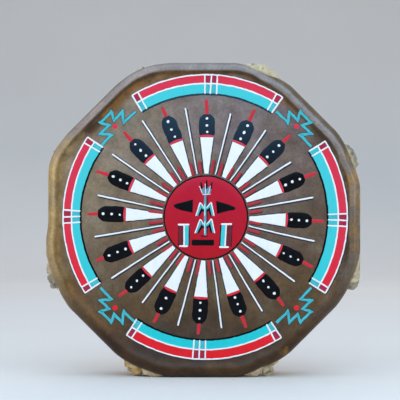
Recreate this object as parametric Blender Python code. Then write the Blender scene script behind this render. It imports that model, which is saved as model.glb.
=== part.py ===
"""Octagonal two-headed frame drum, standing on one of its flat sides.

Eight mitred boards make the octagonal frame.  A front and a back rawhide head are drawn over
it, and their flanges are pulled towards each other round the side by rawhide laces, one lace
to a side, each with a knot at a corner.

Frame of reference: metres, +Z up, front head towards -Y, origin on the ground under the
middle of the drum.  Sides are counted from the bottom one, anticlockwise seen from the front.
"""
import math

import bmesh
import bpy
from mathutils import Vector

# Driving dimensions
SIDES = 8
ACROSS_FLATS = 0.406          # 16 inches over the hide
DEPTH = 0.090                 # over both heads
CORNER_RADIUS = 0.054         # rounding of the octagon's corners, on the hide
SHOULDER_IN = 0.011           # how far the rounded front and back edges reach into the head
SHOULDER_DOWN = 0.012         # how far they reach down the side
FRONT_SINK = 0.0022           # the front head lies this far below its rounded edge
SETTLED_IN = 0.022            # and has sunk that far at this distance from the side
BOARD_THICKNESS = 0.019
HIDE_THICKNESS = 0.0020
HIDE_CUT_RADIUS = 0.239       # each head is cut from the hide as a disc of this radius
GAP = 0.0003                  # clearance between touching pieces

# The flange's cut edge is pared thin, so that the laces lie below the hide's surface
PARED_WIDTH = 0.010
PARED_THICKNESS = 0.0007

LACE_WIDTH = 0.005
LACE_THICKNESS = 0.0008
LACE_DEPTH_BELOW_HIDE = 0.0006    # from the hide's surface to the middle of the lace
LACE_SETBACK = 0.008              # from the flange's cut edge to a lace's turning point
LACE_TURN_RADIUS = 0.003
LACE_STEP = 0.009                 # spacing of points along a lace
TURNS_PER_FLANGE = 5              # lace turning points on the front flange of each side
KNOT_WIDTH = 0.009
KNOT_THICKNESS = 0.0036
KNOT_LENGTH = 0.009
KNOT_END_SHARE = 0.6              # a knot's blunt end, as a share of its full section
TAIL_CLEARANCE = 0.0095           # a lace's end stops this far short of the corner

# Fineness of the facets
SHOULDER_SEGMENTS = 4
CORNER_SEGMENTS = 2               # from a straight run to the middle of a corner
STRAIGHT_SEGMENTS = 4
TURN_SEGMENTS = 4
KNOT_SEGMENTS = 4
SHARP_EDGE = math.radians(35)     # edges that bend more than this are shaded sharp

# Worked out from the driving dimensions
HALF_TURN = math.pi / SIDES
APOTHEM = ACROSS_FLATS / 2
HALF_DEPTH = DEPTH / 2
STRAIGHT_HALF = (APOTHEM - CORNER_RADIUS) * math.tan(HALF_TURN)
RUN_HALF = STRAIGHT_HALF + CORNER_RADIUS * HALF_TURN
WOOD_INSET = HIDE_THICKNESS + GAP


def clear_scene():
    for scene_object in list(bpy.data.objects):
        bpy.data.objects.remove(scene_object, do_unlink=True)


def material(name, colour, roughness):
    result = bpy.data.materials.new(name)
    result.use_nodes = True
    shader = result.node_tree.nodes["Principled BSDF"]
    shader.inputs["Base Color"].default_value = (*colour, 1.0)
    shader.inputs["Roughness"].default_value = roughness
    shader.inputs["Metallic"].default_value = 0.0
    return result


def add_object(name, mesh_builder, surface):
    """Link a new object that holds the closed mesh in mesh_builder."""
    bmesh.ops.recalc_face_normals(mesh_builder, faces=mesh_builder.faces)
    mesh = bpy.data.meshes.new(name)
    mesh_builder.to_mesh(mesh)
    mesh_builder.free()
    mesh.materials.append(surface)
    mesh.shade_smooth()
    mesh.set_sharp_from_angle(angle=SHARP_EDGE)
    piece = bpy.data.objects.new(name, mesh)
    bpy.context.scene.collection.objects.link(piece)
    return piece


def on_outline(side, run, inset, depth):
    """The point at length run from a side's middle round the outline, inset from the hide."""
    past_straight = max(abs(run) - STRAIGHT_HALF, 0.0)
    angle = math.copysign(past_straight / CORNER_RADIUS, run)
    radius = CORNER_RADIUS - inset
    along = math.copysign(min(abs(run), STRAIGHT_HALF), run) + radius * math.sin(angle)
    outward = APOTHEM - CORNER_RADIUS + radius * math.cos(angle)
    return on_side(side, along, outward, depth)


def on_side(side, along, outward, depth):
    """The point at these distances along and out from the drum's axis, square to a side."""
    facing = 2 * HALF_TURN * side - math.pi / 2
    x = outward * math.cos(facing) - along * math.sin(facing)
    z = outward * math.sin(facing) + along * math.cos(facing)
    return Vector((x, depth, APOTHEM + z))


def runs_along_side():
    """Where one side's outline is divided, from its first corner to its last."""
    straight = [STRAIGHT_HALF * (2 * i / STRAIGHT_SEGMENTS - 1) for i in range(STRAIGHT_SEGMENTS + 1)]
    arc = CORNER_RADIUS * HALF_TURN
    corner = [STRAIGHT_HALF + arc * (i + 1) / CORNER_SEGMENTS for i in range(CORNER_SEGMENTS)]
    return [-run for run in reversed(corner)] + straight + corner


def flange_edge(run):
    """Distance from the middle of the drum's depth to a flange's cut edge."""
    middle = on_outline(0, run, 0.0, 0.0) - Vector((0, 0, APOTHEM))
    return HALF_DEPTH - (HIDE_CUT_RADIUS - middle.length)


def shoulder(shrink, sink):
    """A head's profile, (inset, distance from mid-depth), from its flat part to the side."""
    profile = [(SETTLED_IN, HALF_DEPTH - shrink - sink)]
    for i in range(SHOULDER_SEGMENTS + 1):
        angle = math.pi / 2 * i / SHOULDER_SEGMENTS
        inset = SHOULDER_IN - (SHOULDER_IN - shrink) * math.sin(angle)
        distance = HALF_DEPTH - SHOULDER_DOWN + (SHOULDER_DOWN - shrink) * math.cos(angle)
        profile.append((inset, distance))
    return profile


def hide_profile(run, sink):
    """Outer then inner profile of a head at one place, from the head round to the head again."""
    edge = flange_edge(run)
    pared_inset = HIDE_THICKNESS - PARED_THICKNESS
    outer = shoulder(0.0, sink)
    outer.append((0.0, edge + PARED_WIDTH))
    outer.append((pared_inset, edge + PARED_WIDTH - 2 * pared_inset))
    outer.append((pared_inset, edge))
    inner = [(HIDE_THICKNESS, edge)]
    inner.extend(reversed(shoulder(HIDE_THICKNESS, sink)))
    return outer + inner


def make_head(name, facing, sink, surface):
    """A head of rawhide: flat face, rounded shoulder and flange.  facing is -1 or +1 along Y."""
    builder = bmesh.new()
    columns = []
    for side in range(SIDES):
        for run in runs_along_side()[:-1]:
            profile = hide_profile(run, sink)
            points = [on_outline(side, run, inset, facing * distance) for inset, distance in profile]
            columns.append([builder.verts.new(point) for point in points])
    for column, following in zip(columns, columns[1:] + columns[:1]):
        for row in range(len(column) - 1):
            builder.faces.new((column[row], following[row], following[row + 1], column[row + 1]))
    builder.faces.new([column[0] for column in columns])
    builder.faces.new([column[-1] for column in columns])
    return add_object(name, builder, surface)


def stave_section(side, run):
    """The board's cross-section at one place along it, round from its inner front corner."""
    at_end = abs(run) > RUN_HALF - GAP
    inner_outward = APOTHEM - WOOD_INSET - BOARD_THICKNESS
    inner_along = inner_outward * math.tan(HALF_TURN) * run / RUN_HALF
    half_width = HALF_DEPTH - WOOD_INSET
    outer = [(inset, -distance) for inset, distance in shoulder(WOOD_INSET, FRONT_SINK)[1:]]
    outer.extend((inset, distance) for inset, distance in reversed(shoulder(WOOD_INSET, 0.0)[1:]))
    section = [on_side(side, inner_along, inner_outward, FRONT_SINK - half_width)]
    section.extend(on_outline(side, run, inset, depth) for inset, depth in outer)
    section.append(on_side(side, inner_along, inner_outward, half_width))
    if at_end:
        glue_line = GAP / 2 / math.cos(HALF_TURN)
        middle = on_side(side, 0.0, 0.0, 0.0)
        backwards = middle - on_side(side, math.copysign(glue_line, run), 0.0, 0.0)
        section = [point + backwards for point in section]
    return section


def make_stave(name, side, surface):
    """One board of the frame, mitred at both ends, with its outer edges rounded over."""
    builder = bmesh.new()
    sections = []
    for run in runs_along_side():
        sections.append([builder.verts.new(point) for point in stave_section(side, run)])
    for section, following in zip(sections, sections[1:]):
        count = len(section)
        for i in range(count):
            j = (i + 1) % count
            builder.faces.new((section[i], section[j], following[j], following[i]))
    builder.faces.new(sections[0])
    builder.faces.new(sections[-1])
    return add_object(name, builder, surface)


def lace_corners():
    """A side's lace as (run, depth) corners: from its knot, flange to flange, to its end."""
    pitch = 2 * RUN_HALF / TURNS_PER_FLANGE
    corners = [Vector((-RUN_HALF, 0.0))]
    for i in range(2 * TURNS_PER_FLANGE - 1):
        run = (i + 1) * pitch / 2 - RUN_HALF
        depth = flange_edge(run) + LACE_SETBACK
        corners.append(Vector((run, -depth if i % 2 == 0 else depth)))
    corners.append(Vector((RUN_HALF - TAIL_CLEARANCE, 0.0)))
    return corners


def rounded(corners, radius):
    """The same route with each inner corner replaced by an arc, and long runs divided."""
    route = [corners[0]]
    for before, corner, after in zip(corners, corners[1:], corners[2:]):
        back = (before - corner).normalized()
        ahead = (after - corner).normalized()
        half_angle = back.angle(ahead) / 2
        start = corner + back * radius / math.tan(half_angle)
        centre = corner + (back + ahead).normalized() * radius / math.sin(half_angle)
        sweep = (start - centre).angle_signed(corner + ahead * (start - corner).length - centre)
        divide(route, start)
        for i in range(1, TURN_SEGMENTS + 1):
            angle = -sweep * i / TURN_SEGMENTS
            arm = start - centre
            turned = Vector((arm.x * math.cos(angle) - arm.y * math.sin(angle),
                             arm.x * math.sin(angle) + arm.y * math.cos(angle)))
            route.append(centre + turned)
    divide(route, corners[-1])
    return route


def divide(route, target):
    """Carry the route straight on to target, in steps of about LACE_STEP."""
    start = route[-1]
    steps = max(1, round((target - start).length / LACE_STEP))
    route.extend(start.lerp(target, i / steps) for i in range(1, steps + 1))


def lace_size(travelled):
    """Half-width, half-thickness and inset of the lace, which starts in a knot."""
    lace = (LACE_WIDTH / 2, LACE_THICKNESS / 2, LACE_DEPTH_BELOW_HIDE)
    knot_inset = WOOD_INSET - 2 * GAP - KNOT_THICKNESS / 2
    knot = (KNOT_WIDTH / 2, KNOT_THICKNESS / 2, knot_inset)
    swelling = max(0.0, math.cos(math.pi / 2 * min(travelled / KNOT_LENGTH, 1.0)))
    return [small + (large - small) * swelling for small, large in zip(lace, knot)]


def knot_route(route):
    """Put closer points where the lace swells into its knot."""
    start, ahead = route[0], (route[1] - route[0]).normalized()
    step = KNOT_LENGTH / KNOT_SEGMENTS
    knot = [start + ahead * step * i for i in range(KNOT_SEGMENTS + 1)]
    return knot + [point for point in route[1:] if (point - start).length > KNOT_LENGTH + step / 2]


def make_lace(name, side, surface):
    """A side's lace: a flat strip that zigzags from flange to flange over the bare wood."""
    builder = bmesh.new()
    route = knot_route(rounded(lace_corners(), LACE_TURN_RADIUS))
    sections = []
    travelled = 0.0
    for i, point in enumerate(route):
        before, after = route[max(i - 1, 0)], route[min(i + 1, len(route) - 1)]
        travelled += (point - before).length
        heading = (after - before).normalized()
        across = Vector((-heading.y, heading.x))
        half_width, half_thickness, inset = lace_size(travelled)
        if i == 0:
            half_width, half_thickness = half_width * KNOT_END_SHARE, half_thickness * KNOT_END_SHARE
        section = []
        for width_sign, thickness_sign in ((-1, -1), (1, -1), (1, 1), (-1, 1)):
            place = point + across * width_sign * half_width
            corner = on_outline(side, place.x, inset + thickness_sign * half_thickness, place.y)
            section.append(builder.verts.new(corner))
        sections.append(section)
    for section, following in zip(sections, sections[1:]):
        for i in range(4):
            j = (i + 1) % 4
            builder.faces.new((section[i], section[j], following[j], following[i]))
    builder.faces.new(sections[0])
    builder.faces.new(sections[-1])
    return add_object(name, builder, surface)


def build_drum():
    clear_scene()
    wood = material("frame_wood", (0.42, 0.27, 0.14), 0.65)
    front_hide = material("front_hide", (0.16, 0.10, 0.06), 0.35)
    back_hide = material("back_hide", (0.30, 0.20, 0.11), 0.40)
    lace_hide = material("lace_hide", (0.55, 0.46, 0.32), 0.55)
    for side in range(SIDES):
        make_stave(f"frame_stave_{side + 1}", side, wood)
    make_head("drumhead_front", -1, FRONT_SINK, front_hide)
    make_head("drumhead_back", 1, 0.0, back_hide)
    for side in range(SIDES):
        make_lace(f"side_lace_{side + 1}", side, lace_hide)


build_drum()
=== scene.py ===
"""Looks of an octagonal, two-headed rawhide drum with a painted front head.

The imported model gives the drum's size and place.  Fine hides, boards and laces stand in for
the plain solids, and the painting is laid on the front head as thin raised coats of paint.

Plane of the front head: "across" runs to the right along +X, "up" along +Z, both from the
drum's middle.  Lengths are in metres.  Sides are counted from the bottom one, anticlockwise
seen from the front.
"""

import math

import bmesh
import bpy
from mathutils import Matrix, Vector, noise


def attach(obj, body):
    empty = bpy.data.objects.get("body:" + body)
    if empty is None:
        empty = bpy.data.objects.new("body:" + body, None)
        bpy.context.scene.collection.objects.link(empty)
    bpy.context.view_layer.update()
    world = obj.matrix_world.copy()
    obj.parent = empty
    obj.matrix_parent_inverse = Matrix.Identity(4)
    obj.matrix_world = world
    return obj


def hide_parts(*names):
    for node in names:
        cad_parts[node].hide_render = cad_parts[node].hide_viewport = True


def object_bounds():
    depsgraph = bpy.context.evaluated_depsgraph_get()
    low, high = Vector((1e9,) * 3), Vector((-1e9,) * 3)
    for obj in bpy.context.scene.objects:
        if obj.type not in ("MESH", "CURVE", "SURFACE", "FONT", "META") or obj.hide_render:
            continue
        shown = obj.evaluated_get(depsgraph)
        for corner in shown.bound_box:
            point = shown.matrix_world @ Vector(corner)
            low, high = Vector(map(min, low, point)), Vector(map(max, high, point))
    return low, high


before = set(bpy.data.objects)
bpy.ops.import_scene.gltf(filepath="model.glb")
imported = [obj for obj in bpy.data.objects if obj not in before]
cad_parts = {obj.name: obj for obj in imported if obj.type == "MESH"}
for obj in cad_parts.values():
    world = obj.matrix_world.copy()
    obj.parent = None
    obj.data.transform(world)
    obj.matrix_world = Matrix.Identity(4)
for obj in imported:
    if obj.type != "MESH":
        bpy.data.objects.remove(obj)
cad_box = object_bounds()

# ---------------------------------------------------------------- sizes taken from the frame
SIDES = 8
HALF_TURN = math.pi / SIDES
LOW, HIGH = Vector(cad_box[0]), Vector(cad_box[1])
APOTHEM = (HIGH.x - LOW.x) / 2
HALF_DEPTH = (HIGH.y - LOW.y) / 2
MIDDLE = (LOW + HIGH) / 2

# ---------------------------------------------------------------- the hides and the frame
CORNER_RADIUS = 0.054
STRAIGHT_HALF = (APOTHEM - CORNER_RADIUS) * math.tan(HALF_TURN)
RUN_HALF = STRAIGHT_HALF + CORNER_RADIUS * HALF_TURN
SHOULDER_IN = 0.0130          # the rounded edge reaches this far into the head
SHOULDER_DOWN = 0.014         # and this far down the side, as a quarter of an ellipse
SETTLED_IN = 0.0225           # the head has sunk to its level at this distance from the side
FRONT_SINK = 0.0027
BACK_SINK = 0.0005
HEAD_RIPPLE = 0.00022
HOLLOW_START = (0.0092, 0.0125)   # the insets between which the hollow's tones come in
TONE_SLIDE = 0.0048           # how much further in the edge's band of painted sheen lies on the right
HIDE_CUT_RADIUS = 0.239
CUT_RAGGED = 0.0011
HIDE_THICKNESS = 0.0019
PARED_INSET = 0.0014          # the thinned cut edge lies this far below the hide's surface
PARED_WIDTH = 0.010
PARED_SHARE = 0.42            # thickness left at the cut edge
FLARE_WIDTH = 0.013           # how far from its cut edge a hide stands off at a corner
COLUMNS_PER_SIDE = 64
FLANGE_ROWS = 16
SHOULDER_ROWS = 12
HEAD_ROWS = 40
STAVE_STEPS = 40
WOOD_INSET = 0.0023
BOARD_THICKNESS = 0.019
BOARD_ROUNDING = 0.0078
GLUE_HALF = 0.00016           # half the glue line between two boards
# What the vertices of a hide say of their place on it
HIDE_SHARES = ("raw", "edge", "hollow", "thickness", "crest", "valley", "brink")

# A drum made by hand isn't quite regular: how far its outline falls inside the true octagon,
# at the middle of each side and at the corner after it
SIDE_FALL = (0.0, 0.0024, 0.0, 0.0002, 0.0, 0.0, 0.0026, 0.0003)
CORNER_FALL = (0.0102, 0.0088, 0.0088, 0.0088, 0.0044, 0.0034, 0.0086, 0.0074)
CORNER_FALL_START = 0.46      # share of a half side where the fall towards the corner starts
BACK_FALL_SHARE = 0.45        # the back half is truer
# Where a side swells: its side, the place along it, how far out, and its half-length
SWELLS = ((6, 0.036, 0.0036, 0.036),)

# How far each corner's raw hide stands off, from the corner after the bottom side onwards
FRONT_FLARE = (1.0, 0.9, 0.85, 1.0, 0.25, 0.2, 0.95, 1.0)
BACK_FLARE = (0.6, 0.5, 0.7, 0.4, 0.5, 0.3, 0.6, 0.7)

# ---------------------------------------------------------------- the laces
LACE_WIDTH = 0.0050
LACE_THICKNESS = 0.0011
LACE_OVER = 0.0009            # inset of a lace's middle where it lies on the hide
LACE_UNDER = 0.0021           # and where it runs beneath it
LACE_SETBACK = 0.008
LACE_TURN_RADIUS = 0.003
LACE_STEP = 0.0015
TURNS_PER_FLANGE = 5
TAIL_CLEARANCE = 0.0095
TUBE_SIDES = 8
KNOT_RUN = 0.0015             # a knot's middle lies this far past its corner's middle
KNOT_INSET = 0.0006
KNOT_RADIUS = 0.0046
KNOT_STRIP = 0.0022
FLAP_THICKNESS = 0.0013
FLAP_STEP = 0.0012
FLAP_CLEARANCE = 0.0004
FLAP_ROOT_INSET = 0.0012      # a flap grows out of the hide from this far below its surface


# ================================================================ shapes shared by everything
def smooth(value, start, end):
    """0 before start, 1 after end, and a smooth rise between."""
    share = min(max((value - start) / (end - start), 0.0), 1.0)
    return share * share * (3 - 2 * share)


def wave(x, y=0.0, z=0.0):
    """Smooth noise from about -1 to 1, the same each run."""
    return noise.noise(Vector((x, y, z)))


def uneven(amount, *key):
    """A small fixed irregularity of hand work."""
    return amount * wave(*[3.7 * k + 0.5 for k in key])


def on_side(side, along, outward, depth):
    """The point at these distances along a side and out from the drum's axis."""
    facing = 2 * HALF_TURN * side - math.pi / 2
    x = outward * math.cos(facing) - along * math.sin(facing)
    z = outward * math.sin(facing) + along * math.cos(facing)
    return Vector((MIDDLE.x + x, MIDDLE.y + depth, MIDDLE.z + z))


def outline_fall(side, run, depth):
    """How far the hand-made outline lies inside the true rounded octagon."""
    side %= SIDES
    corner = CORNER_FALL[side] if run > 0 else CORNER_FALL[side - 1]
    rise = smooth(abs(run) / RUN_HALF, CORNER_FALL_START, 1.0)
    fall = SIDE_FALL[side] + (corner - SIDE_FALL[side]) * rise
    for swollen, place, out, reach in SWELLS:
        if side == swollen:
            fall -= out * (1 - smooth(abs(run - place) / reach, 0.0, 1.0))
    return max(0.0, fall) * (1 - (1 - BACK_FALL_SHARE) * smooth(depth, -0.030, 0.006))


def on_outline(side, run, inset, depth):
    """The point at length run from a side's middle round the outline, inset from the hide."""
    return on_true_outline(side, run, inset + outline_fall(side, run, depth), depth)


def on_true_outline(side, run, inset, depth):
    """The same on the regular rounded octagon."""
    past_straight = max(abs(run) - STRAIGHT_HALF, 0.0)
    angle = math.copysign(past_straight / CORNER_RADIUS, run)
    radius = CORNER_RADIUS - inset
    along = math.copysign(min(abs(run), STRAIGHT_HALF), run) + radius * math.sin(angle)
    outward = APOTHEM - CORNER_RADIUS + radius * math.cos(angle)
    return on_side(side, along, outward, depth)


def edge_inset(across, up, facing):
    """How far inside the outline a point of the front (-1) or back (1) head's plane lies."""
    angle = math.atan2(across, -up)
    side = round(angle / (2 * HALF_TURN))
    folded = angle - 2 * HALF_TURN * side
    reach = math.hypot(across, up)
    sideways, outward = reach * math.sin(folded), reach * math.cos(folded)
    along = abs(sideways)
    if along <= STRAIGHT_HALF or outward <= APOTHEM - CORNER_RADIUS:
        run, inset = along, APOTHEM - outward
    else:
        bend = math.atan2(along - STRAIGHT_HALF, outward - APOTHEM + CORNER_RADIUS)
        run = STRAIGHT_HALF + CORNER_RADIUS * min(bend, HALF_TURN)
        inset = CORNER_RADIUS - math.hypot(along - STRAIGHT_HALF, outward - APOTHEM + CORNER_RADIUS)
    return inset - outline_fall(side, math.copysign(min(run, RUN_HALF), sideways), facing * HALF_DEPTH)


def rounding(share):
    """How far a quarter circle has dropped at a share of its radius from its top."""
    return 1 - math.sqrt(1 - min(max(share, 0.0), 1.0) ** 2)


def face_depth(across, up, facing=-1):
    """Distance from mid-depth to a head's outer surface, anywhere inside its rounded edge."""
    inset = edge_inset(across, up, facing)
    drop = SHOULDER_DOWN * rounding(1 - inset / SHOULDER_IN)
    sink = FRONT_SINK if facing < 0 else BACK_SINK
    settle = smooth(inset, SHOULDER_IN * 0.8, SETTLED_IN)
    ripple = wave(across * 22 + 5 * facing, up * 22, 1.5) + 0.3 * wave(across * 60, up * 60, 7 * facing)
    return HALF_DEPTH - drop - settle * (sink + HEAD_RIPPLE * ripple)


def shoulder_inset(depth):
    """How far inside the outline a rounded edge's surface lies at a distance from mid-depth."""
    return SHOULDER_IN * rounding(1 - (HALF_DEPTH - depth) / SHOULDER_DOWN)


def flange_edge(run):
    """Distance from mid-depth to a flange's cut edge."""
    reach = (on_true_outline(0, run, 0.0, 0.0) - MIDDLE).length
    return HALF_DEPTH - (HIDE_CUT_RADIUS - reach)


def new_piece(name, mesh_builder, *surfaces, slot=None, replaces=None, smooth_angle=40):
    """Turn a mesh under construction into a piece that rides on the drum."""
    mesh = bpy.data.meshes.new(name)
    mesh_builder.to_mesh(mesh)
    mesh_builder.free()
    for surface in surfaces:
        mesh.materials.append(surface)
    mesh.shade_smooth()
    mesh.set_sharp_from_angle(angle=math.radians(smooth_angle))
    piece = bpy.data.objects.new(name, mesh)
    bpy.context.scene.collection.objects.link(piece)
    if replaces:
        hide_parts(replaces)
    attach(piece, "root")
    return piece


def apply_modifiers(piece):
    """Keep the evaluated shape as the piece's own mesh."""
    evaluated = piece.evaluated_get(bpy.context.evaluated_depsgraph_get())
    mesh = bpy.data.meshes.new_from_object(evaluated, preserve_all_data_layers=True,
                                           depsgraph=bpy.context.evaluated_depsgraph_get())
    piece.modifiers.clear()
    piece.data = mesh


def skin_sections(builder, sections, closed=False):
    """Bridge a row of equal rings of vertices, and cap the ends of an open row."""
    made = []
    for section, following in zip(sections, sections[1:] + (sections[:1] if closed else [])):
        for i in range(len(section)):
            j = (i + 1) % len(section)
            made.append(builder.faces.new((section[i], section[j], following[j], following[i])))
    if not closed:
        made.append(builder.faces.new(list(reversed(sections[0]))))
        made.append(builder.faces.new(sections[-1]))
    bmesh.ops.recalc_face_normals(builder, faces=made)


def heading_at(places):
    """The direction from the place before a point to the one after it."""
    return (places[-1] - places[0]).normalized()


# ================================================================ materials
class Value:
    """A node's output, to be linked on or worked into a sum or a product."""

    def __init__(self, surface, socket):
        self.surface, self.socket = surface, socket

    def __add__(self, other):
        return self.surface.math("ADD", self, other)

    def __sub__(self, other):
        return self.surface.math("SUBTRACT", self, other)

    def __rsub__(self, other):
        return self.surface.math("SUBTRACT", other, self)

    def __mul__(self, other):
        return self.surface.math("MULTIPLY", self, other)


class Surface:
    """A procedural material: a Principled shader and the nodes that feed it."""

    def __init__(self, name, **constants):
        self.material = bpy.data.materials.new(name)
        self.material.use_nodes = True
        self.tree = self.material.node_tree
        self.shader = self.tree.nodes["Principled BSDF"]
        for socket, value in constants.items():
            self.shader.inputs[socket.replace("_", " ")].default_value = value
        self.place = self.add("ShaderNodeTexCoord", output="Object")

    def add(self, kind, inputs=(), output=0, **settings):
        node = self.tree.nodes.new(kind)
        for name, value in settings.items():
            setattr(node, name, value)
        for socket, value in dict(inputs).items():
            self.feed(node.inputs[socket], value)
        return Value(self, node.outputs[output])

    def feed(self, socket, value):
        if isinstance(value, Value):
            self.tree.links.new(value.socket, socket)
        else:
            socket.default_value = value

    def axis(self, name):
        return self.add("ShaderNodeSeparateXYZ", {0: self.place}, output=name)

    def noise(self, scale, detail=3.0, roughness=0.55, place=None, stretch=None, shift=None):
        """Noise of so many waves to a metre.  A shift makes it differ from another of that scale."""
        place = place or self.place
        if shift:
            place = self.add("ShaderNodeVectorMath", {0: place, 1: shift})
        if stretch:
            place = self.add("ShaderNodeMapping", {"Vector": place, "Scale": stretch})
        settings = {"Vector": place, "Scale": scale, "Detail": detail, "Roughness": roughness}
        return self.add("ShaderNodeTexNoise", settings)

    def attribute(self, name, output="Fac"):
        return self.add("ShaderNodeAttribute", output=output, attribute_name=name)

    def levels(self, value, low, high, to_low=0.0, to_high=1.0):
        """Stretch value from low..high to to_low..to_high, held at the ends."""
        inputs = {0: value, 1: low, 2: high, 3: to_low, 4: to_high}
        return self.add("ShaderNodeMapRange", inputs, clamp=True)

    def math(self, operation, first, second):
        return self.add("ShaderNodeMath", {0: first, 1: second}, operation=operation)

    def mix(self, share, first, second, blend="MIX"):
        colours = [c if isinstance(c, Value) else (*c, 1.0) for c in (first, second)]
        inputs = {0: share, 6: colours[0], 7: colours[1]}
        return self.add("ShaderNodeMix", inputs, 2, data_type="RGBA", blend_type=blend)

    def bump(self, height, distance, strength=1.0, under=None):
        inputs = {"Height": height, "Distance": distance, "Strength": strength}
        if under:
            inputs["Normal"] = under
        return self.add("ShaderNodeBump", inputs)

    def finish(self, colour, roughness, normal):
        self.feed(self.shader.inputs["Base Color"], colour)
        self.feed(self.shader.inputs["Roughness"], roughness)
        self.feed(self.shader.inputs["Normal"], normal)
        return self.material


# Each tone of the hide, on the front and on the back
HIDE_TONES = {
    "high": ((0.235, 0.178, 0.158), (0.50, 0.355, 0.20)),          # the head high up, grey with a painted sky sheen
    # the same painted sky sheen, purple-grey, on the head's right
    "high_right": ((0.250, 0.200, 0.225), (0.50, 0.355, 0.20)),
    "low": ((0.094, 0.047, 0.012), (0.37, 0.245, 0.125)),          # low down, and dark clouds
    # painted warm light on the head's left
    "left": ((0.375, 0.270, 0.150), (0.54, 0.40, 0.235)),
    "haze": ((0.20, 0.165, 0.10), (0.40, 0.30, 0.18)),             # pale clouds
    # painted shade at the head's foot
    "foot": ((0.048, 0.030, 0.024), (0.30, 0.20, 0.10)),
    "edge_top": ((0.150, 0.098, 0.060), (0.36, 0.24, 0.125)),      # the rounded edge, its tone by side with painted light
    # painted warm light on the rounded edge's left
    "edge_left": ((0.52, 0.330, 0.112), (0.38, 0.25, 0.12)),
    "edge_right": ((0.128, 0.092, 0.066), (0.34, 0.22, 0.11)),
    # painted shade on the rounded edge's bottom
    "edge_bottom": ((0.036, 0.015, 0.007), (0.16, 0.09, 0.042)),
    "painted_sheen": ((0.250, 0.198, 0.178), (0.42, 0.31, 0.19)),          # a painted sheen along its crest
    "painted_sheen_left": ((0.345, 0.245, 0.200), (0.42, 0.31, 0.19)),
    "brink": ((0.15, 0.085, 0.035), (0.30, 0.20, 0.10)),           # its worn outermost line
    "stain": ((0.30, 0.140, 0.028), (0.34, 0.20, 0.09)),           # patches on its right side
    "amber": ((0.190, 0.080, 0.015), (0.34, 0.18, 0.062)),         # patches in the hollow inside it
    # dark patches in the hollow, and the painted shade along the valley inside the rounded edge
    "dark": ((0.050, 0.023, 0.010), (0.15, 0.08, 0.038)),
    "pale": ((0.55, 0.42, 0.24), (0.55, 0.42, 0.24)),              # the raw cut edge
}


def head_tone(s, tones, across, up):
    """The flat head: grey high up with a painted sky sheen, golden on the left with painted warm light,
    brown on the right, and dark at its foot with painted shade.
    """
    # painted warm light: the head's left takes a golden tone
    leftness = s.levels(across, -0.02, -0.17) * s.levels(s.axis("Z"), 0.13, 0.25)
    # painted sky sheen: the head turns grey, and purple-grey to the right, higher up
    high = s.mix(s.levels(across, -0.04, 0.10), tones["high"], tones["high_right"])
    head = s.mix(s.levels(up, 0.06, 0.36), tones["low"], high)
    head = s.mix(leftness * 0.75, head, tones["left"])
    head = s.mix(s.levels(across, 0.02, 0.15, 0.0, 0.60), head, tones["low"])
    cloud = s.levels(s.noise(26, 5, 0.62), 0.36, 0.66)
    head = s.mix(cloud * 0.50, head, tones["low"])
    haze = s.levels(s.noise(34, 4, 0.6, shift=(2, 9, 4)), 0.50, 0.68)
    head = s.mix(haze * 0.34, head, tones["haze"])
    # painted shade darkens the head at its foot
    return s.mix(s.levels(up, 0.10, 0.025), head, tones["foot"])


def edge_tone(s, tones, across, height, leftness, rightness):
    """The rounded edge: its streaks, painted warm light on its left, painted shade towards its bottom, a
    painted sheen along its crest and its worn brink.
    """
    edge = s.mix(s.levels(across, 0.05, 0.19), tones["edge_top"], tones["edge_right"])
    # painted warm light on the left
    edge = s.mix(leftness, edge, tones["edge_left"])
    # painted shade towards the bottom
    edge = s.mix(s.levels(height, 0.15, 0.06), edge, tones["edge_bottom"])
    streaks = s.levels(s.noise(30, 5, 0.6), 0.35, 0.68)
    edge = s.mix(streaks * 0.45, edge, tones["low"])
    high = s.levels(height, 0.12, 0.24)
    islands = s.levels(s.noise(15, 4, 0.6, shift=(6, 1, 3)), 0.44, 0.58, 0.10, 1.0)
    # painted sheen: a bright band along the crest of the rounded edge, broken on the right
    painted_sheen = s.attribute("crest") * high * (1 - rightness * (1 - islands)) * (1 - leftness)
    painted_sheen_tone = s.mix(s.levels(across, 0.0, -0.12), tones["painted_sheen"], tones["painted_sheen_left"])
    edge = s.mix(painted_sheen * 0.85, edge, painted_sheen_tone)
    worn = s.levels(s.noise(75, 4, 0.6, shift=(5, 5, 1)), 0.42, 0.60, 0.12, 0.55)
    brink_tone = s.mix(rightness * high, tones["brink"], tones["pale"])
    return s.mix(s.attribute("brink") * worn, edge, brink_tone)


def stained(s, tones, body, height, leftness, rightness):
    """Stains on the rounded edge's right side, amber and dark patches in the hollow inside it, and painted
    shade along the valley inside the edge.
    """
    calm = 1 - rightness * 0.55
    hollow = s.attribute("hollow") * s.levels(height, 0.03, 0.13, 0.15, 1.0)
    stain = rightness * s.levels(s.noise(19, 4, 0.6, shift=(1, 4, 9)), 0.52, 0.62) * s.attribute("edge")
    amber = s.levels(s.noise(17, 4, 0.6), 0.36, 0.56, 0.15, 1.0) * (1 - leftness * 0.6) * calm
    dark = s.levels(s.noise(24, 4, 0.6, shift=(3, 5, 7)), 0.50, 0.66)
    broken = s.levels(s.noise(20, 4, 0.6, shift=(8, 2, 5)), 0.34, 0.54, 0.35, 0.85) * calm
    broken = broken * s.levels(height, 0.06, 0.17) * (1 - leftness * 0.9)
    body = s.mix(stain * 0.8, body, tones["stain"])
    body = s.mix(hollow * amber, body, tones["amber"])
    body = s.mix(hollow * dark, body, tones["dark"])
    # painted shade along the valley inside the rounded edge
    return s.mix(s.attribute("valley") * broken, body, tones["dark"])


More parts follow.
